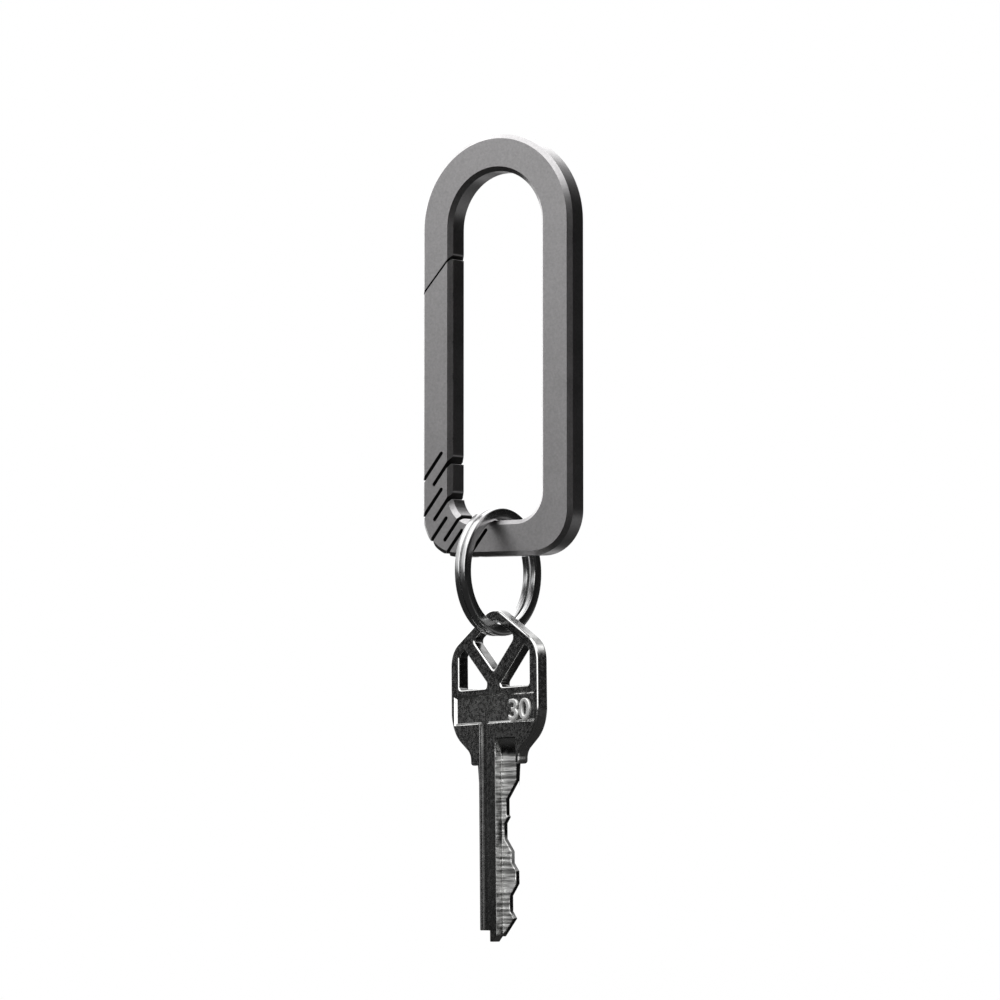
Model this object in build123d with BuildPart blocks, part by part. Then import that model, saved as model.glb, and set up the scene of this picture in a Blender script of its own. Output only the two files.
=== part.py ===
from build123d import *
import os
from math import cos, hypot, radians, sin, sqrt

# Key organiser: a one-piece carabiner whose gate bends on a slit spring, a split ring
# hung on its lower bar, and a house key hung on the ring. Millimetres, +Z up.
# The origin is the centre of the carabiner's top arch, halfway through its thickness.
# +X points from the gate to the solid leg, +Y from the front face to the back face.

# ---- Carabiner -------------------------------------------------------------
body_width = 29.0
body_drop = 52.9  # from the arch centre down to the underside of the lower bar
body_thickness = 4.35
leg_width = 5.9  # of both legs and of the arch
lower_bar_height = 5.65
outer_corner_radius = 7.1
inner_corner_radius = 4.5
edge_chamfer = 0.7

# ---- Spring slits, sawn through the lower left corner -----------------------
slit_angle = 50.7  # above the horizontal
slit_width = 0.62
slit_pairs = 4
top_slit_drop = 41.16  # mouth of the top slit on the outer edge, below the arch centre
pair_pitch = 3.68  # between slits that open outwards, square to the slits
inner_slit_step = 2.02  # from an outward slit to the inward slit under it
outward_slit_necks = (1.53, 1.53, 1.83, 1.6, 1.2)  # metal left at each blind end
inward_slit_necks = (2.3, 2.3, 1.9, 1.9)
lip_radius = 0.15  # sharp lip of a slit's mouth
heel_radius = 0.8  # blunt side of a slit's mouth
wall_share = 0.45  # of the shorter wall at a corner that a fillet may take up
spring_share = 0.7  # the sawn corner lies below this share of the opening's height

# ---- Nose cut, between the arch and the free end of the gate -----------------
nose_angle = 47.0
nose_gap = 0.32
nose_drop = 7.6  # of the cut, where it crosses the middle of the leg

# ---- Split ring --------------------------------------------------------------
ring_diameter = 20.4
wire_height = 1.85  # radial
coil_width = 1.08  # axial, of one turn
coil_gap = 0.1
coil_spread = 0.45  # how far the turn nearer the gate leans away at the back
wire_corner = 0.24
ring_inset = 13.75  # from the gate's outer side, along the lower bar
ring_turn = 2.4  # degrees about +Z
ring_clearance = 0.2  # above the lower bar
crossover_start = 20.0  # degrees up from the back of the ring
crossover_span = 36.0
crossover_sections = 9

# ---- House key -----------------------------------------------------------------
key_thickness = 2.0
key_turn = -22.0  # degrees about +Z
key_lean = -0.95
key_tilt = 2.4
key_clearance = 0.52  # between the ring and the bow's bridge
bow_width = 25.2
bow_height = 24.6  # from the top of the bridge to the shoulders
bow_edge_round = 0.4
rim_width = 1.8  # of the bow above the windows
side_rim_width = 2.4
gable_angle = 28.0
gable_radius = 5.0
upper_corner_radius = 4.2
flank_angle = 33.0  # below the horizontal, from the bow's side to the shoulder
flank_drop = 19.1  # from the bridge's top to where side and flank would meet
lower_corner_radius = 6.0
shoulder_width = 13.9
shoulder_radius = 2.0
shoulder_tip_radius = 0.5
window_floor = 12.35  # bottom of the two side windows, below the bridge's top
spoke_width = 2.7
spoke_angle = 40.5
spoke_meet = 11.5  # where the spokes' centre lines cross, below the bridge's top
window_corner_radius = 0.55
panel_top = 13.5  # below the bridge's top
panel_height = 4.4
panel_width = 22.8
panel_depth = 0.4
blade_spine = -4.5  # the blade's plain edge, from the key's centre line
blade_width = 8.95
blade_length = 27.9  # from the shoulders to the tip
spine_stop = 1.75  # the spine's edge ends this far above the tip
tongue_edge = -1.65
tongue_width = 0.8
tip_angle = 49.4  # of the slanted tip, from the blade's length
spine_groove_edge = 0.35  # from the plain edge
spine_groove_width = 2.1
spine_groove_depth = 0.45
back_groove_edge = 2.65
back_groove_width = 1.9
back_groove_depth = 0.6
milled_edge = 4.8  # where the milled side starts, from the plain edge
milled_depth = 1.2
milled_wall = 0.2  # width of the slope beside the milled floor
cutter_radius = 5.0
milled_rise = 1.05  # full depth is reached this far above the shoulders
pocket_end = 6.1  # the milled side's far edge inside the bow, from the centre line
first_cut = 6.7  # middle of the first bitting cut, from the shoulders
cut_spacing = 3.8
cut_flat = 2.4
cut_heights = (6.0, 5.35, 7.33, 8.64, 6.78)  # blade left at each cut, from the spine

parts_folder = "parts"
os.makedirs(parts_folder, exist_ok=True)


def write_piece(piece, label):
    """Label a finished piece and write it as its own file."""
    piece.label = label
    export_step(piece, f"{parts_folder}/{label}.step")


# ---- The carabiner's outline -------------------------------------------------
half_width = body_width / 2
half_thickness = body_thickness / 2
half_opening = half_width - leg_width
opening_drop = body_drop - lower_bar_height
outer_loop = (half_width, body_drop, outer_corner_radius)
inner_loop = (half_opening, opening_drop, inner_corner_radius)


def loop_face(half_size, drop, corner_radius):
    """A half-round arch over straight sides with two rounded bottom corners."""
    with BuildSketch() as loop:
        with BuildLine():
            FilletPolyline(
                (-half_size, 0),
                (-half_size, -drop),
                (half_size, -drop),
                (half_size, 0),
                radius=corner_radius,
            )
            ThreePointArc((half_size, 0), (0, half_size), (-half_size, 0))
        make_face()
    return loop.sketch


def depth_inside(point, half_size, drop, corner_radius):
    """How far a point lies inside the lower part of a loop; negative outside it."""
    across = abs(point.X) - (half_size - corner_radius)
    down = -point.Y - (drop - corner_radius)
    reach = hypot(max(across, 0), max(down, 0)) + min(max(across, down), 0)
    return corner_radius - reach


# ---- The slits -----------------------------------------------------------------
along = Vector(cos(radians(slit_angle)), sin(radians(slit_angle)))
across = Vector(-along.Y, along.X)
top_slit = Vector(-half_width, -top_slit_drop).dot(across)
outward_slits = [top_slit - pair_pitch * n for n in range(slit_pairs + 1)]
inward_slits = [top_slit - inner_slit_step - pair_pitch * n for n in range(slit_pairs)]
spring_top = Vector(-half_opening / 2, -spring_share * opening_drop).dot(along)
spring_bottom = -2 * body_drop


def slit_point(line, distance):
    """The point at a distance along the slit line this far across."""
    return across * line + along * distance


def slit_stop(line, height):
    """Distance along a slit line, going up it, at which height(point) turns positive."""
    low, high = spring_bottom, spring_top
    for _ in range(50):
        middle = (low + high) / 2
        if height(slit_point(line, middle)) > 0:
            high = middle
        else:
            low = middle
    return high


def outward_stop(line, metal):
    """Where a slit line comes to within this much metal of the opening."""
    return slit_stop(line, lambda point: depth_inside(point, *inner_loop) + metal)


def inward_stop(line, metal):
    """Where a slit line lies this deep inside the outer edge."""
    return slit_stop(line, lambda point: depth_inside(point, *outer_loop) - metal)


def slit_end(line):
    """Centre of a slit's round blind end, and the sign of the way to its mouth."""
    if line in outward_slits:
        neck = outward_slit_necks[outward_slits.index(line)]
        return outward_stop(line, neck + slit_width / 2), -1
    neck = inward_slit_necks[inward_slits.index(line)]
    return inward_stop(line, neck + slit_width / 2), 1


def leaving(edge, point):
    """The direction in which an edge leaves one of its end points."""
    return edge % 0 if (edge @ 0 - point).length < 1e-4 else -(edge % 1)


def true_corners(sketch):
    """Each vertex at an angle, with that angle's cosine and the fillet its walls allow."""
    ends = [(edge @ 0, edge @ 1, edge) for edge in sketch.edges()]
    found = []
    for vertex in sketch.vertices():
        point = Vector(vertex)
        meeting = [e for a, b, e in ends if min((a - point).length, (b - point).length) < 1e-4]
        first, second = [leaving(edge, point) for edge in meeting]
        cosine = first.dot(second)
        if cosine > -0.99:
            wall = wall_share * min(edge.length for edge in meeting)
            found.append((vertex, cosine, wall * sqrt((1 - cosine) / (1 + cosine))))
    return found


def round_corners(builder, wanted, least_cosine=-1):
    """Fillet the corners of a sketch one at a time, each as far as its walls allow."""
    while True:
        corners = [c for c in true_corners(builder.sketch_local) if c[1] > least_cosine]
        if not corners:
            return
        vertex, cosine, limit = corners[0]
        fillet(vertex, min(wanted, limit))


slits = sorted(outward_slits + inward_slits, reverse=True)
nose_along = Vector(cos(radians(nose_angle)), sin(radians(nose_angle)))
nose_middle = Vector(-half_width + leg_width / 2, -nose_drop)

# The band with its slits and the nose cut. Each mouth has a sharp lip and a blunt heel.
with BuildSketch(Plane.XZ) as slit_band:
    add(loop_face(*outer_loop))
    add(loop_face(*inner_loop), mode=Mode.SUBTRACT)
    for line in slits:
        stop, way_out = slit_end(line)
        start = slit_point(line, stop)
        finish = slit_point(line, stop + way_out * 2 * leg_width)
        SlotCenterPoint((start + finish) / 2, start, slit_width, mode=Mode.SUBTRACT)
    with Locations(nose_middle):
        Rectangle(3 * leg_width, nose_gap, rotation=nose_angle, mode=Mode.SUBTRACT)
    round_corners(slit_band, lip_radius, least_cosine=0)
    round_corners(slit_band, heel_radius)

# The whole chamfered loop, with its slits.
with BuildPart() as slit_body:
    with BuildSketch(Plane.XZ):
        add(loop_face(*outer_loop))
        add(loop_face(*inner_loop), mode=Mode.SUBTRACT)
    extrude(amount=half_thickness, both=True)
    chamfer(slit_body.faces().filter_by(Axis.Y).edges(), edge_chamfer)
    extrude(slit_band.sketch, amount=half_thickness, both=True, mode=Mode.INTERSECT)


def spring_region(upper_slit, lower_slit):
    """Everything between two slit lines in the lower left corner."""
    corners = (
        slit_point(upper_slit, spring_top),
        slit_point(upper_slit, spring_bottom),
        slit_point(lower_slit, spring_bottom),
        slit_point(lower_slit, spring_top),
    )
    with BuildSketch() as region:
        with BuildLine():
            Polyline(*corners, close=True)
        make_face()
    return region.sketch


# Everything between the nose cut and the top slit.
with BuildSketch() as gate_region:
    with BuildLine():
        Polyline(
            nose_middle + nose_along * leg_width,
            nose_middle - nose_along * 2 * leg_width,
            slit_point(slits[0], spring_bottom),
            slit_point(slits[0], spring_top),
            close=True,
        )
    make_face()

# ---- Frame, gate and the leaves of the spring between them ------------------------
with BuildPart() as frame:
    add(slit_body.part)
    with BuildSketch(Plane.XZ):
        add(gate_region.sketch)
        add(spring_region(slits[0], slits[-1]))
    extrude(amount=body_thickness, both=True, mode=Mode.SUBTRACT)
write_piece(frame.part, "frame")

with BuildPart() as gate:
    add(slit_body.part)
    with BuildSketch(Plane.XZ):
        add(gate_region.sketch)
    extrude(amount=body_thickness, both=True, mode=Mode.INTERSECT)
write_piece(gate.part, "gate")

for number, (lower_slit, upper_slit) in enumerate(zip(slits[:0:-1], slits[-2::-1]), start=1):
    with BuildPart() as leaf:
        add(slit_body.part)
        with BuildSketch(Plane.XZ):
            add(spring_region(upper_slit, lower_slit))
        extrude(amount=body_thickness, both=True, mode=Mode.INTERSECT)
    write_piece(leaf.part, f"flexure_leaf_{number}")

# ---- Split ring: two turns of flat wire, joined by one crossover -------------------
wire_radius = ring_diameter / 2 - wire_height / 2
ring_inner_radius = ring_diameter / 2 - wire_height
ring_drop = opening_drop - ring_clearance + ring_inner_radius
ring_offset = ring_inset - half_width
layer_shift = (coil_width + coil_gap) / 2
ring_direction = radians(ring_turn)
ring_plane = Plane(
    origin=(ring_offset, 0, -ring_drop),
    x_dir=(sin(ring_direction), cos(ring_direction), 0),
    z_dir=(cos(ring_direction), -sin(ring_direction), 0),
)


def turn_plane(shift, spread):
    """The plane of one turn, shifted along the ring's axis and leaning away at the back."""
    return Plane(
        origin=(0, 0, shift - spread / 2),
        x_dir=(2 * wire_radius, 0, -spread),
        z_dir=(spread, 0, 2 * wire_radius),
    )


def wire_plane(turn, angle):
    """The plane across the wire of a turn, at an angle up from the back of the ring."""
    radial = Location((0, 0, 0), (0, 0, angle)) * Location((wire_radius, 0, 0), (90, 0, 0))
    return Plane(turn.location * radial)


with BuildPart() as coil:
    for turn in (turn_plane(layer_shift, 0), turn_plane(-layer_shift, coil_spread)):
        with BuildSketch(wire_plane(turn, crossover_start + crossover_span)) as section:
            Rectangle(wire_height, coil_width)
            chamfer(section.vertices(), wire_corner)
        revolve(axis=Axis(turn.origin, turn.z_dir), revolution_arc=360 - crossover_span)
    for number in range(crossover_sections):
        share = number / (crossover_sections - 1)
        eased = share * share * (3 - 2 * share)
        turn = turn_plane(layer_shift * (1 - 2 * eased), coil_spread * eased)
        with BuildSketch(wire_plane(turn, crossover_start + crossover_span * share)) as section:
            Rectangle(wire_height, coil_width)
            chamfer(section.vertices(), wire_corner)
    loft()

with BuildPart() as split_ring:
    with Locations(ring_plane):
        add(coil.part)
write_piece(split_ring.part, "split_ring")

# ---- House key, drawn about the ring's wire: X across it, Y along it, front at +Z -----
half_key = key_thickness / 2
bow_top = wire_height / 2 + key_clearance + rim_width
shoulder = bow_top - bow_height
tip = shoulder - blade_length
slope = radians(gable_angle)
flank = radians(flank_angle)
apex = bow_top + gable_radius * (1 / cos(slope) - 1)
side = bow_width / 2
neck = shoulder_width / 2
flank_top = bow_top - flank_drop
right_side = (
    (side, apex - side * sin(slope) / cos(slope), upper_corner_radius),
    (side, flank_top, lower_corner_radius),
    (neck, flank_top - (side - neck) * sin(flank) / cos(flank), shoulder_radius),
    (neck, shoulder, shoulder_tip_radius),
)
left_side = tuple((-x, y, radius) for x, y, radius in reversed(right_side))
outline = ((0, apex, gable_radius),) + right_side + left_side

with BuildSketch() as bow_outline:
    with BuildLine():
        corners = [(x, y) for x, y, radius in outline]
        FilletPolyline(*corners, radius=[radius for x, y, radius in outline], close=True)
    make_face()

# Three windows, left between the rim and two spokes that spread from the bow's middle.
meet = bow_top - spoke_meet
half_spoke = spoke_width / 2 / cos(radians(spoke_angle))
spoke_rise = side * sin(radians(spoke_angle)) / cos(radians(spoke_angle))
with BuildSketch() as windows:
    offset(bow_outline.sketch, amount=-rim_width)
    with Locations((0, bow_top - window_floor)):
        Rectangle(
            bow_width - 2 * side_rim_width,
            bow_height,
            align=(Align.CENTER, Align.MIN),
            mode=Mode.INTERSECT,
        )
    with BuildLine():
        Polyline(
            (0, meet - half_spoke),
            (side, meet - half_spoke + spoke_rise),
            (side, meet + half_spoke + spoke_rise),
            (0, meet + half_spoke),
            (-side, meet + half_spoke + spoke_rise),
            (-side, meet - half_spoke + spoke_rise),
            close=True,
        )
    make_face(mode=Mode.SUBTRACT)
    round_corners(windows, window_corner_radius)

# The blade's outline: plain edge on the left, tongue at the tip, cuts on the right.
blade_edge = blade_spine + blade_width
tongue_end = tongue_edge + tongue_width
tip_rise = (blade_edge - tongue_end) * cos(radians(tip_angle)) / sin(radians(tip_angle))
with BuildSketch() as blade_outline:
    with BuildLine():
        Polyline(
            (blade_spine, shoulder + bow_edge_round),
            (blade_spine, tip + spine_stop),
            (tongue_edge, tip + spine_stop),
            (tongue_edge, tip),
            (tongue_end, tip),
            (blade_edge, tip + tip_rise),
            (blade_edge, shoulder + bow_edge_round),
            close=True,
        )
    make_face()
    for number, height in enumerate(cut_heights):
        middle = shoulder - first_cut - number * cut_spacing
        floor = blade_spine + height
        with BuildLine():
            Polyline(
                (floor, middle + cut_flat / 2),
                (floor, middle - cut_flat / 2),
                (floor + blade_width, middle - cut_flat / 2 - blade_width),
                (floor + blade_width, middle + cut_flat / 2 + blade_width),
                close=True,
            )
        make_face(mode=Mode.SUBTRACT)

with BuildPart() as key_blank:
    add(bow_outline.sketch)
    extrude(amount=half_key, both=True)
    fillet(key_blank.faces().filter_by(Axis.Z).edges(), bow_edge_round)
    extrude(windows.sketch, amount=half_key, both=True, mode=Mode.SUBTRACT)
    extrude(blade_outline.sketch, amount=half_key, both=True)
    # Panel on the front of the bow.
    with BuildSketch(Plane.XY.offset(half_key - panel_depth)):
        with Locations((0, bow_top - panel_top)):
            Rectangle(panel_width, panel_height, align=(Align.CENTER, Align.MAX))
    extrude(amount=key_thickness, mode=Mode.SUBTRACT)
    # Keyway grooves, one in the front and one in the back.
    groove_top = bow_top - panel_top - panel_height
    groove_length = bow_height + blade_length
    with BuildSketch(Plane.XY.offset(half_key - spine_groove_depth)):
        with Locations((blade_spine + spine_groove_edge, groove_top)):
            Rectangle(spine_groove_width, groove_length, align=(Align.MIN, Align.MAX))
    extrude(amount=key_thickness, mode=Mode.SUBTRACT)
    with BuildSketch(Plane.XY.offset(back_groove_depth - half_key)):
        with Locations((blade_spine + back_groove_edge, groove_top)):
            Rectangle(back_groove_width, groove_length, align=(Align.MIN, Align.MAX))
    extrude(amount=-key_thickness, mode=Mode.SUBTRACT)
    # The milled side: a sloped wall, a floor, and the cutter's run-out into the bow.
    floor_height = half_key - milled_depth
    run_out = shoulder + milled_rise
    wall_foot = blade_spine + milled_edge + milled_wall
    above = 2 * milled_depth
    cutter_section = (
        (wall_foot, 0),
        (pocket_end, 0),
        (pocket_end, above),
        (wall_foot - milled_wall * above / milled_depth, above),
    )
    with BuildSketch(Plane.XZ.offset(-run_out)):
        with BuildLine():
            Polyline(*[(x, floor_height + y) for x, y in cutter_section], close=True)
        make_face()
    extrude(amount=blade_length + milled_rise, mode=Mode.SUBTRACT)
    with BuildSketch(Plane.XZ.offset(-run_out)):
        with BuildLine():
            Polyline(*[(x, floor_height + y) for x, y in cutter_section], close=True)
        make_face()
    revolve(axis=Axis((0, run_out, floor_height + cutter_radius), (1, 0, 0)), mode=Mode.SUBTRACT)

key_direction = radians(key_turn)
turns_middle = ring_offset - coil_spread / 4  # of the two turns, where the key hangs
upright_plane = Plane(
    origin=(turns_middle, 0, -ring_drop - wire_radius),
    x_dir=(cos(key_direction), sin(key_direction), 0),
    z_dir=(sin(key_direction), -cos(key_direction), 0),
)
key_plane = Plane(upright_plane.location * Location((0, 0, 0), (key_lean, 0, key_tilt)))
with BuildPart() as house_key:
    with Locations(key_plane):
        add(key_blank.part)
write_piece(house_key.part, "house_key")
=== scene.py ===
from math import cos, pi, radians, sin

import bmesh
import bpy
import numpy as np
from mathutils import Matrix, Vector


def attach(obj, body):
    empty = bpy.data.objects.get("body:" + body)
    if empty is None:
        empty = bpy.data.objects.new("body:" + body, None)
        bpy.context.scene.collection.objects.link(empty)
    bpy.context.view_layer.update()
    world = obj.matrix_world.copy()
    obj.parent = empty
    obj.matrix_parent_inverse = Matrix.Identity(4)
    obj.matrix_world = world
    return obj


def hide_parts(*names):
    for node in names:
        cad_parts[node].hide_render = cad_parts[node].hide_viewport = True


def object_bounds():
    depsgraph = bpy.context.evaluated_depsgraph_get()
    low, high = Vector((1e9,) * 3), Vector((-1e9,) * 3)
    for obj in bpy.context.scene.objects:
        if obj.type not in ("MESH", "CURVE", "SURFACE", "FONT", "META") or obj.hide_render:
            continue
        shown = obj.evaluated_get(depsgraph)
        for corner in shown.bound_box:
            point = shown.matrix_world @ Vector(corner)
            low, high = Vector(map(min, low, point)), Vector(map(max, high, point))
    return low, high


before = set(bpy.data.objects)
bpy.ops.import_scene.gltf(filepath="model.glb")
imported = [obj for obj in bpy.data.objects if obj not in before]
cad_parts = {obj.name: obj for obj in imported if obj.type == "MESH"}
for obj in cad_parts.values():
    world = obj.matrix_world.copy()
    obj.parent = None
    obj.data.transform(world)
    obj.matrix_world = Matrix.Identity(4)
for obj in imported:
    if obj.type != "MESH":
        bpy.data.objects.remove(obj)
cad_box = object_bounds()

# ---- Camera -------------------------------------------------------------------------
# Stands in front of the object and to its right, a little under its middle, with a
# long lens. The object hangs by its arch, so the camera looks slightly up at it.
def add_object(name, data):
    """A new object in the scene, at the origin."""
    made = bpy.data.objects.new(name, data)
    bpy.context.scene.collection.objects.link(made)
    return made


camera_data = bpy.data.cameras.new("camera")
camera_data.lens = 134.68
camera_data.sensor_width = 36.0
camera_data.clip_end = 100.0
camera = add_object("camera", camera_data)
camera.location = (0.339336, -0.489109, -0.075601)
looking = Vector((-0.56975, 0.82010, 0.05312))
camera.rotation_euler = looking.to_track_quat("-Z", "Y").to_euler()
bpy.context.scene.camera = camera
bpy.context.scene.view_settings.view_transform = "Standard"


# ---- Studio ---------------------------------------------------------------------------
# A soft room of panels in the world: one over the object, one behind it to the left, one
# in front of it to the left and a narrow one in front. The right-hand side stays dark.
# The camera sees a white backdrop and a pale floor. The metal sees a dark floor with a
# few pale patches, because bare metal shows little else than what it mirrors.
class Socket:
    """An output socket of a node tree. Operators on it add Math nodes."""

    def __init__(self, tree, output=None):
        self.tree = tree
        self.output = output

    def node(self, kind, inputs=(), out=0, **settings):
        """Adds a node: its settings first, then the values or links of its sockets."""
        made = self.tree.nodes.new(kind)
        for name, value in settings.items():
            setattr(made, name, value)
        for name, value in dict(inputs).items():
            if isinstance(value, Socket):
                self.tree.links.new(value.output, made.inputs[name])
            else:
                made.inputs[name].default_value = value
        return Socket(self.tree, made.outputs[out]) if made.outputs else None

    def maths(self, operation, *values):
        return self.node("ShaderNodeMath", dict(enumerate(values)), operation=operation)

    def __add__(self, other):
        return self.maths("ADD", self, other)

    def __sub__(self, other):
        return self.maths("SUBTRACT", self, other)

    def __rsub__(self, other):
        return self.maths("SUBTRACT", other, self)

    def __mul__(self, other):
        return self.maths("MULTIPLY", self, other)

    def __abs__(self):
        return self.maths("ABSOLUTE", self)

    __radd__ = __add__
    __rmul__ = __mul__

    def ramp(self, low, high, start=0.0, end=1.0):
        """Smooth step from start to end as this value goes from low to high."""
        inputs = {
            "Value": self, "From Min": low, "From Max": high, "To Min": start, "To Max": end}
        return self.node("ShaderNodeMapRange", inputs, interpolation_type="SMOOTHSTEP")

    def fall(self, low, high):
        """Smooth step down from 1 to 0 as this value goes from low to high."""
        return self.ramp(low, high, 1.0, 0.0)

    def noise(self, scale, detail=2.0, **more):
        """Noise read at this position, about 0.5 on the average."""
        inputs = {"Vector": self, "Scale": scale, "Detail": detail, **more}
        return self.node("ShaderNodeTexNoise", inputs)

    def between(self, first, second):
        """A colour between two others, by this value. Sockets 0, 6 and 7 are those of RGBA."""
        inputs = {0: self, 6: first, 7: second}
        return self.node("ShaderNodeMix", inputs, out=2, data_type="RGBA")

    def grey(self, dark, light):
        """A colour between two given as red, green and blue, by this value."""
        return self.between((*dark, 1), (*light, 1))


def new_material(name):
    """An empty material, and a socket to start its nodes from."""
    made = bpy.data.materials.new(name)
    made.use_nodes = True
    made.node_tree.nodes.clear()
    return made, Socket(made.node_tree)


def dress(piece, material):
    """Gives a piece this one material."""
    piece.data.materials.clear()
    piece.data.materials.append(material)


world = bpy.data.worlds.new("studio")
bpy.context.scene.world = world
world.use_nodes = True
world.node_tree.nodes.clear()
start = Socket(world.node_tree)
direction = start.node("ShaderNodeTexCoord")
panels = (
    # direction of the panel's middle, cosine at its rim and where it is full, strength
    ((0.05, -0.05, 1.00), 0.48, 0.86, 1.85),
    ((-0.70, 0.64, 0.30), 0.66, 0.88, 1.90),
    ((-0.57, -0.80, 0.70), 0.76, 0.97, 1.09),
    ((0.18, -0.96, 0.20), 0.86, 0.945, 1.70),
)
level = 0.010  # of the light between the panels
for middle, rim, full, strength in panels:
    inputs = {0: direction, 1: tuple(Vector(middle).normalized())}
    agreement = start.node("ShaderNodeVectorMath", inputs, out=1, operation="DOT_PRODUCT")
    level = agreement.ramp(rim, full) * strength + level
seen_by_camera = start.node("ShaderNodeLightPath")
lamp = start.node("ShaderNodeBackground", {"Color": (1, 1, 1, 1), "Strength": level})
backdrop = start.node("ShaderNodeBackground", {"Color": (1, 1, 1, 1), "Strength": 1.0})
shown = start.node("ShaderNodeMixShader", {0: seen_by_camera, 1: lamp, 2: backdrop})
start.node("ShaderNodeOutputWorld", {"Surface": shown})

floor_drop = 0.01
half_floor = 20.0
floor_paleness = 0.97  # as the camera sees it, where 1 is white
floor_height = cad_box[0][2] - floor_drop
corners = np.array([(-1, -1, 0), (1, -1, 0), (1, 1, 0), (-1, 1, 0)]) * half_floor
corners[:, 2] = floor_height
floor_mesh = bpy.data.meshes.new("floor")
floor_mesh.from_pydata(corners.tolist(), [], [(0, 1, 2, 3)])
floor = add_object("floor", floor_mesh)
pale, start = new_material("pale_floor")
seen_by_camera = start.node("ShaderNodeLightPath")
seen_in_metal = start.node("ShaderNodeLightPath", out=3)  # Is Glossy Ray
place = start.node("ShaderNodeTexCoord", out=3)  # Object, here and below
pale_patches = 0.0
patches = (
    # place of the patch's middle, radius where it is full and at its rim, strength
    ((-0.085, 0.145), 0.020, 0.080, 0.8),
    ((-1.00, 0.50), 0.40, 0.80, 1.2),
    ((-0.90, -0.60), 0.30, 0.90, 0.15),
    ((0.20, 0.42), 0.15, 0.42, 0.18),
)
for middle, full, rim, strength in patches:
    inputs = {0: place, 1: (*middle, floor_height)}
    distance = start.node("ShaderNodeVectorMath", inputs, out=1, operation="DISTANCE")
    pale_patches = distance.ramp(full, rim, strength, 0.0) + pale_patches
matt = start.node("ShaderNodeBsdfDiffuse", {"Color": (0.02, 0.02, 0.02, 1)})
brightness = seen_by_camera * floor_paleness + seen_in_metal * pale_patches
glow = start.node("ShaderNodeEmission", {"Color": (1, 1, 1, 1), "Strength": brightness})
both = start.node("ShaderNodeAddShader", {0: matt, 1: glow})
start.node("ShaderNodeOutputMaterial", {"Surface": both})
dress(floor, pale)

# ---- Carabiner ------------------------------------------------------------------------
# Frame, leaves and gate are one titanium plate, cut out by waterjet, chamfered on both
# faces and bead-blasted all over. The blasting leaves a fine even grain, which is rubbed
# bright only along the edges of the chamfers.
outer_loop = (0.0145, 0.0529, 0.0071)  # half width, drop and corner radius
inner_loop = (0.0086, 0.04725, 0.0045)
half_thickness = 0.002175
chamfer = 0.0007
wear_width = 0.00012


def depth_inside(x, z, half_size, drop, corner_radius):
    """How far a point is inside a loop: half-round above z = 0, rounded corners below."""
    across = abs(x) - (half_size - corner_radius)
    down = -1 * z - (drop - corner_radius)
    corner_x = across.maths("MAXIMUM", across, 0.0)
    corner_z = down.maths("MAXIMUM", down, 0.0)
    reach = x.maths("SQRT", corner_x * corner_x + corner_z * corner_z)
    within = across.maths("MINIMUM", across.maths("MAXIMUM", across, down), 0.0)
    below = corner_radius - (reach + within)
    radius = x.maths("SQRT", x * x + z * z)
    above = half_size - radius
    is_above = z.maths("GREATER_THAN", z, 0.0)
    return above * is_above + below * (1 - is_above)


def finish_metal(start, colour, roughness, height, bump_strength, bump_distance):
    """Bare metal of this colour and roughness, with fine relief from a height."""
    inputs = {"Strength": bump_strength, "Distance": bump_distance, "Height": height}
    bump = start.node("ShaderNodeBump", inputs)
    shader = start.node("ShaderNodeBsdfPrincipled", {
        "Base Color": colour, "Metallic": 1.0, "Roughness": roughness, "Normal": bump})
    start.node("ShaderNodeOutputMaterial", {"Surface": shader})


titanium, start = new_material("blasted_titanium")
place = start.node("ShaderNodeTexCoord", out=3)
x, y, z = (place.node("ShaderNodeSeparateXYZ", {0: place}, out=axis) for axis in range(3))
from_outer = depth_inside(x, z, *outer_loop)
from_inner = -1 * depth_inside(x, z, *inner_loop)
nearest = from_outer.maths("MINIMUM", from_outer, from_inner)
face_line = abs(nearest - chamfer).fall(0.0, wear_width)
wall_line = abs(abs(y) - (half_thickness - chamfer)).fall(0.0, wear_width)
rubbed_spots = place.noise(900.0, 4.0).ramp(0.42, 0.62)
rubbed = face_line.maths("MAXIMUM", face_line, wall_line) * rubbed_spots
from_face = half_thickness - abs(y)
from_chamfer = (nearest + from_face - chamfer) * 0.7071  # it lies at 45 degrees
depth = nearest.maths("MINIMUM", nearest.maths("MINIMUM", nearest, from_face), from_chamfer)
in_slit = depth.ramp(0.00003, 0.00015)  # only a slit's wall is deeper than the skin
grain = place.noise(2600.0, 4.0, Roughness=0.7)
cloud = place.noise(260.0, 3.0)
tone = (grain - 0.5) * 2.4 + (cloud - 0.5) * 0.35 + rubbed * 0.10 + 0.45
blasted = tone.grey((0.40, 0.392, 0.396), (0.525, 0.515, 0.520))
# Painted shade: the walls inside the slits are coloured nearly black, for the shade in the
# narrow cuts.
slit_painted_shade = grain.grey((0.02, 0.02, 0.02), (0.09, 0.088, 0.086))
colour = in_slit.between(blasted, slit_painted_shade)
roughness = 0.31 + (cloud - 0.5) * 0.08 - rubbed * 0.03 + in_slit * 0.3
finish_metal(start, colour, roughness, grain, 0.25, 0.00004)
for name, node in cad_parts.items():
    if name not in ("split_ring", "house_key"):
        dress(node, titanium)

# ---- Split ring -----------------------------------------------------------------------
# One flat spring-steel wire, wound into two turns that cross over once near the back.
# It is drawn, wound and polished, so fine drawing lines run along the wire.
ring_centre = Vector((-0.00075, 0.0, -0.0554))
ring_turn = radians(2.4)
wire_radius = 0.009275
wire_height = 0.00185
coil_width = 0.00113
coil_spread = 0.00045
wire_rounding = 0.50  # power of the superellipse: 1 is a diamond's, 0 a square's
end_size = 0.78  # of the section, where the wire is cut
end_length = 0.00025
crossover_start = 20.0  # degrees round the ring
crossover_span = 36.0


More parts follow.
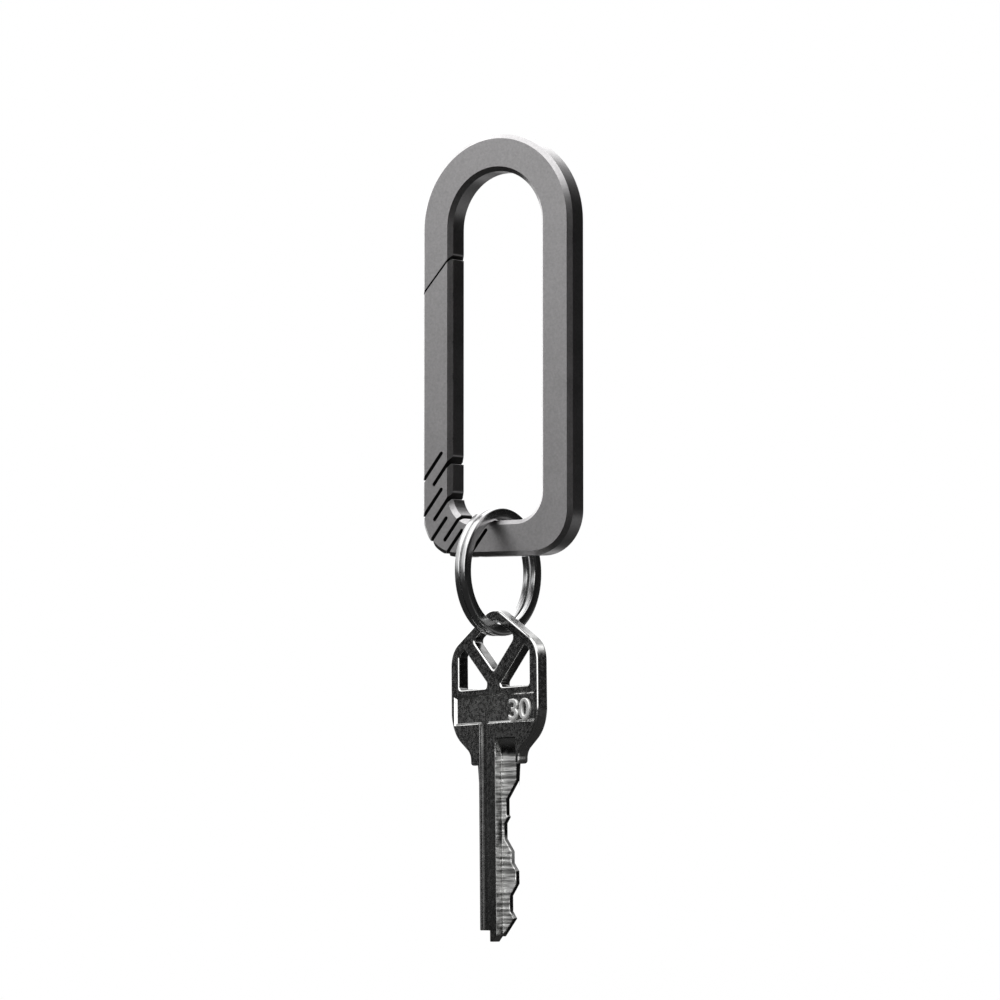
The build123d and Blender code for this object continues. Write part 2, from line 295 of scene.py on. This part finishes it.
def shade_smooth(mesh):
    """Smooth shading on every face. Edges that are marked sharp stay so."""
    mesh.polygons.foreach_set("use_smooth", np.ones(len(mesh.polygons), dtype=bool))


def split_ring_surface(steps=900, around=40):
    """
    A rounded rectangle carried along the wire. Over the first 324 degrees the wire lies
    in the right-hand turn, over the next 36 it eases across, and over the last 324 it
    lies in the left-hand turn, whose plane leans away at the back of the ring.
    Each end is drawn in over a short length, as a cut and tumbled end is.
    """
    full = 360.0 - crossover_span
    angle = np.linspace(0.0, 2 * full + crossover_span, steps)
    share = np.clip((angle - full) / crossover_span, 0.0, 1.0)
    eased = share * share * (3 - 2 * share)
    shift = coil_width / 2 * (1 - 2 * eased)
    spread = coil_spread * eased
    turned = np.radians(angle + crossover_start + crossover_span)
    # Section: a superellipse with the wire's half height and half width.
    corner = np.linspace(0.0, 2 * pi, around, endpoint=False)
    cosine, sine = np.cos(corner), np.sin(corner)
    section_r = np.sign(cosine) * np.abs(cosine) ** wire_rounding * wire_height / 2
    section_a = np.sign(sine) * np.abs(sine) ** wire_rounding * coil_width / 2
    run = angle * pi / 180 * wire_radius
    end_run = np.minimum(run, run[-1] - run)
    rounded = np.sqrt(1 - (1 - np.clip(end_run / end_length, 0, 1)) ** 2)
    drawn_in = end_size + (1 - end_size) * rounded
    rho = wire_radius + section_r[None, :] * drawn_in[:, None]
    tau = section_a[None, :] * drawn_in[:, None]
    # The turn's own plane, which leans by spread / (2 * wire_radius).
    lean = np.arctan(spread / (2 * wire_radius))[:, None]
    flat_x = rho * np.cos(turned)[:, None]
    flat_y = rho * np.sin(turned)[:, None]
    back = flat_x * np.cos(lean) + tau * np.sin(lean)
    axial = shift[:, None] - spread[:, None] / 2 - flat_x * np.sin(lean) + tau * np.cos(lean)
    turn_x = np.array((sin(ring_turn), cos(ring_turn), 0.0))
    turn_z = np.array((cos(ring_turn), -sin(ring_turn), 0.0))
    upwards = np.array((0.0, 0.0, 1.0))
    points = back[..., None] * turn_x + flat_y[..., None] * upwards + axial[..., None] * turn_z
    points += np.array(ring_centre)
    return points, run


def tube_mesh(name, points, run):
    """Quads between neighbouring sections, a fan at each end, and a UV map of run and girth."""
    steps, around = points.shape[:2]
    index = np.arange(steps * around).reshape(steps, around)
    following = np.roll(index, -1, axis=1)
    quads = np.stack((index[:-1], index[1:], following[1:], following[:-1]), axis=-1)
    quads = quads.reshape(-1, 4)
    end_middles = points[[0, -1]].mean(axis=1)
    verts = np.concatenate((points.reshape(-1, 3), end_middles))
    first, last = steps * around, steps * around + 1
    start_fan = np.stack((index[0], following[0], np.full(around, first)), axis=-1)
    end_fan = np.stack((following[-1], index[-1], np.full(around, last)), axis=-1)
    mesh = bpy.data.meshes.new(name)
    mesh.from_pydata(verts.tolist(), [], quads.tolist() + start_fan.tolist() + end_fan.tolist())
    girth = np.concatenate((np.tile(np.arange(around) / around, steps), (0.0, 0.0)))
    length = np.concatenate((np.repeat(run, around), (run[0], run[-1])))
    vertex = np.empty(len(mesh.loops), dtype=np.int32)
    mesh.loops.foreach_get("vertex_index", vertex)
    uv = np.stack((length[vertex] * 1000, girth[vertex]), axis=-1)
    # The last column of quads runs up to girth 1 instead of back to 0.
    quad_uv = uv[:quads.size].reshape(steps - 1, around, 4, 2)
    quad_uv[:, -1, 2:, 1] = 1.0
    layer = mesh.uv_layers.new(name="along_wire")
    layer.data.foreach_set("uv", uv.ravel())
    shade_smooth(mesh)
    mesh.update()
    return add_object(name, mesh)


ring = tube_mesh("ring_wire", *split_ring_surface())
steel, start = new_material("polished_ring_steel")
along = start.node("ShaderNodeUVMap", uv_map="along_wire")
place = start.node("ShaderNodeTexCoord", out=3)
stretched = start.node("ShaderNodeMapping", {"Vector": along, "Scale": (0.12, 60.0, 1.0)})
drawn = stretched.noise(1.0, 4.0)
rub = place.noise(1400.0, 5.0)
colour = (drawn * 0.6 + rub * 0.4).grey((0.42, 0.42, 0.423), (0.68, 0.68, 0.68))
roughness = 0.14 + drawn * 0.12 + rub.ramp(0.5, 0.75) * 0.06
finish_metal(start, colour, roughness, drawn, 0.12, 0.00001)
dress(ring, steel)
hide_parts("split_ring")
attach(ring, "ring")

# ---- House key ------------------------------------------------------------------------
# Stamped from brass strip, milled and nickel plated. Carried among other keys, so the
# plating is scuffed and mottled, its edges are rounded, and the milled side shows the
# cutter's marks across the blade.
key_origin = Vector((-0.0008625, 0.0, -0.064675))
key_across = Vector((0.926631, -0.373634, 0.041870))
key_along = Vector((-0.032621, 0.031046, 0.998985))
key_front = Vector((-0.374555, -0.927056, 0.016580))
key_frame = Matrix((key_across, key_along, key_front)).transposed()
key_half_thickness = 0.001
edge_rounding = 0.00014
wall_slope = 0.00019  # half the width of the sloping walls round the sunk panel
window_rounding = 0.00036  # around the windows, worn by the ring and by other keys
window_corner = radians(60)  # only edges sharper than this are worn
windows_from = -0.0095  # they lie above this, along the key
panel_middle = Vector((0.0, -0.012455, 0.0008))  # in the key's own axes
panel_reach = Vector((0.0114, 0.0022, 0.0002))
tolerance = 3e-5

key_mesh = bpy.data.meshes.new("worn_house_key")
shape = bmesh.new()
shape.from_mesh(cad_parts["house_key"].data)
bmesh.ops.remove_doubles(shape, verts=shape.verts, dist=1e-7)
bmesh.ops.dissolve_limit(
    shape, angle_limit=radians(0.5), verts=shape.verts, edges=shape.edges)

# Both ends of each edge in the key's own axes, one row per edge.
ends = np.array([vert.co for edge in shape.edges for vert in edge.verts])
ends = ((ends - np.array(key_origin)) @ np.array(key_frame)).reshape(-1, 2, 3)
on_face = np.abs(np.abs(ends[..., 2]) - key_half_thickness) < tolerance
in_windows = (on_face & (ends[..., 1] > windows_from)).all(axis=1)
from_panel = np.abs(ends - np.array(panel_middle))
reach = np.array(panel_reach)
on_outline = np.abs(np.max(from_panel[..., :2] - reach[:2], axis=-1)) < tolerance
on_level = np.abs(from_panel[..., 2] - reach[2]) < tolerance
is_flat = np.abs(ends[:, 0, 2] - ends[:, 1, 2]) < tolerance
on_panel = (on_outline & on_level).all(axis=1) & is_flat
shape.edges.ensure_lookup_table()
panel_edges = [shape.edges[k] for k in np.flatnonzero(on_panel)]
window_edges = [shape.edges[k] for k in np.flatnonzero(in_windows)]
window_edges = [edge for edge in window_edges if edge.calc_face_angle() > window_corner]
sloped = bmesh.ops.bevel(
    shape, geom=panel_edges, offset=wall_slope, segments=1, profile=0.5, affect="EDGES")
for edge in {edge for face in sloped["faces"] for edge in face.edges}:
    edge.smooth = False
bmesh.ops.bevel(
    shape, geom=window_edges, offset=window_rounding, segments=4, profile=0.5, affect="EDGES")
shape.to_mesh(key_mesh)
shape.free()
shade_smooth(key_mesh)
key_piece = add_object("worn_house_key", key_mesh)
rounding = key_piece.modifiers.new("rounded_edges", "BEVEL")
rounding.width = edge_rounding
rounding.segments = 3
rounding.limit_method = "ANGLE"
rounding.angle_limit = radians(50)  # leaves out the panel's slopes
rounding.use_clamp_overlap = False
even = key_piece.modifiers.new("even_faces", "WEIGHTED_NORMAL")
even.weight = 80
even.keep_sharp = True

nickel, start = new_material("worn_nickel_plate")
place = start.node("ShaderNodeTexCoord", out=3)
local = start.node("ShaderNodeMapping", {
    "Vector": place,
    "Location": tuple(key_origin),
    "Rotation": tuple(key_frame.to_euler()),
    "Scale": (0.001, 0.001, 0.001),
}, vector_type="TEXTURE")
across, along, front = (
    local.node("ShaderNodeSeparateXYZ", {0: local}, out=axis) for axis in range(3))
facing = start.node("ShaderNodeTexCoord", out=1)
inputs = {0: facing, 1: tuple(key_front)}
to_front = abs(start.node("ShaderNodeVectorMath", inputs, out=1, operation="DOT_PRODUCT"))

# Where on the key, from 0 to 1. The key's own coordinates are in millimetres here.
cut_away = front.fall(0.90, 0.98) * front.ramp(-0.45, -0.3) * across.ramp(0.2, 0.3)
bitting = to_front.fall(0.05, 0.12) * along.fall(-21.4, -21.2) * across.ramp(0.6, 0.7)
milled = cut_away * along.fall(-20.3, -19.3) * (1 - bitting)
# Painted shade: the upper end of the milled slot is coloured nearly black, for the shade it
# shows.
slot_end_painted_shade = cut_away * to_front.ramp(0.6, 0.85)
slot_end_painted_shade = slot_end_painted_shade * along.ramp(-20.1, -19.5) * along.fall(-15.2, -14.9)
foot = abs(across - 0.5).fall(0.05, 0.16) * milled
in_keyway = abs(across + 3.1).fall(1.35, 1.6) * along.fall(-14.8, -14.5)
from_panel = abs(along - panel_middle.y * 1000)
sunk = from_panel.fall(1.95, 2.1) * front.fall(0.5, 0.75) * front.ramp(0.0, 0.2)
blade_painted_shade = along.fall(-23.0, -17.0)
low_outline = along.fall(-10.5, -9.8)
outline = along.maths("MAXIMUM", abs(across).ramp(11.7, 12.1), low_outline)
outline = outline * to_front.fall(0.05, 0.15) * (1 - milled)
polished = (1 - to_front.ramp(0.86, 0.97)) * to_front.ramp(0.10, 0.30)
polished = polished * (1 - milled) * (1 - in_keyway * 0.9)


def scratches(angle, closeness, amount):
    """Thin lines at an angle across the faces: noise squeezed one way, its peaks kept."""
    inputs = {
        "Vector": local, "Rotation": (0.0, 0.0, radians(angle)), "Scale": (0.2, closeness, 0.4)}
    return local.node("ShaderNodeMapping", inputs).noise(1.0, 3.0).ramp(0.64, 0.74) * amount


blotches = local.noise(0.9, 2.5, Roughness=0.55)
pores = local.noise(2.4, 1.0, Roughness=0.5)
specks = local.noise(3.0, 1.0).ramp(0.64, 0.74)
scuffs = scratches(6, 3.4, 0.8) + scratches(-38, 3.0, 0.7) + scratches(84, 3.2, 0.7)
squeezed = local.node("ShaderNodeMapping", {"Vector": local, "Scale": (0.10, 1.9, 0.3)})
marks = squeezed.noise(1.0, 5.0)

wear_and_painted_shade = blotches.ramp(0.30, 0.72) * 0.36 + pores.ramp(0.30, 0.75) * 0.18
wear_and_painted_shade = wear_and_painted_shade + scuffs * 0.25 + specks * 0.2 + 0.08
# Painted shade: the blade is coloured darker towards its tip.
wear_and_painted_shade = wear_and_painted_shade * (1 - sunk * 0.45) + sunk * 0.80 - blade_painted_shade * 0.3
plain = wear_and_painted_shade.grey((0.13, 0.13, 0.13), (0.44, 0.44, 0.435))
cut = marks.ramp(0.38, 0.62).grey((0.28, 0.28, 0.275), (1.0, 1.0, 0.99))
colour = milled.between(plain, cut)
colour = (outline * (0.6 + blotches * 0.5)).between(colour, (0.80, 0.80, 0.79, 1))
colour = (slot_end_painted_shade * 0.9).between(colour, (0.03, 0.03, 0.03, 1))
colour = bitting.between(colour, (0.14, 0.14, 0.14, 1))
colour = (polished * 0.85).between(colour, (0.85, 0.85, 0.84, 1))
plain_roughness = 0.20 + pores.ramp(0.35, 0.7) * 0.12 - polished * 0.10
cut_roughness = 0.48 + marks * 0.16
roughness = plain_roughness * (1 - milled) + cut_roughness * milled - foot * 0.3
height = blotches * 0.2 * (1 - milled) + marks * (milled - foot * 0.7) * 9.0
finish_metal(start, colour, roughness, height, 0.35, 0.00005)
dress(key_piece, nickel)
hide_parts("house_key")
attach(key_piece, "key")

# ---- Number on the key's panel ------------------------------------------------------
# Two plain digits, raised when the panel is struck, so they stand a little above its
# floor and their tops are rubbed bright.
digits = "30"
digit_height = 0.0046  # of the font's line, its figures are about 0.7 of this
digit_spread = 1.35  # the figures are wider than the font's
digit_relief = 0.00005
digit_rounding = 0.00017
digit_offset = -0.00005  # draws the outline in by part of what the rounding adds
number_end = Vector((0.0100, -0.01440, 0.00062))  # its right foot, in the key's own axes
number_curve = bpy.data.curves.new("panel_number", "FONT")
number_curve.body = digits
number_curve.size = digit_height
number_curve.space_character = 1.02
number_curve.align_x = "RIGHT"
number_curve.extrude = digit_relief
number_curve.offset = digit_offset
number_curve.bevel_depth = digit_rounding
number_curve.bevel_resolution = 4
flat_number = add_object("flat_number", number_curve)
depsgraph = bpy.context.evaluated_depsgraph_get()
number_mesh = bpy.data.meshes.new_from_object(flat_number.evaluated_get(depsgraph))
bpy.data.objects.remove(flat_number)
number_mesh.transform(
    Matrix.Translation(key_origin) @ key_frame.to_4x4() @ Matrix.Translation(number_end)
    @ Matrix.Diagonal((digit_spread, 1.0, 1.0, 1.0)))
number_mesh.update()
shade_smooth(number_mesh)
number = add_object("panel_number", number_mesh)
bright, start = new_material("rubbed_nickel_digits")
place = start.node("ShaderNodeTexCoord", out=3)
rub = place.noise(2500.0, 3.0)
colour = rub.grey((0.86, 0.86, 0.85), (1.0, 1.0, 0.99))
roughness = 0.42 + rub * 0.2
finish_metal(start, colour, roughness, rub, 0.2, 0.00002)
dress(number, bright)
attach(number, "key")
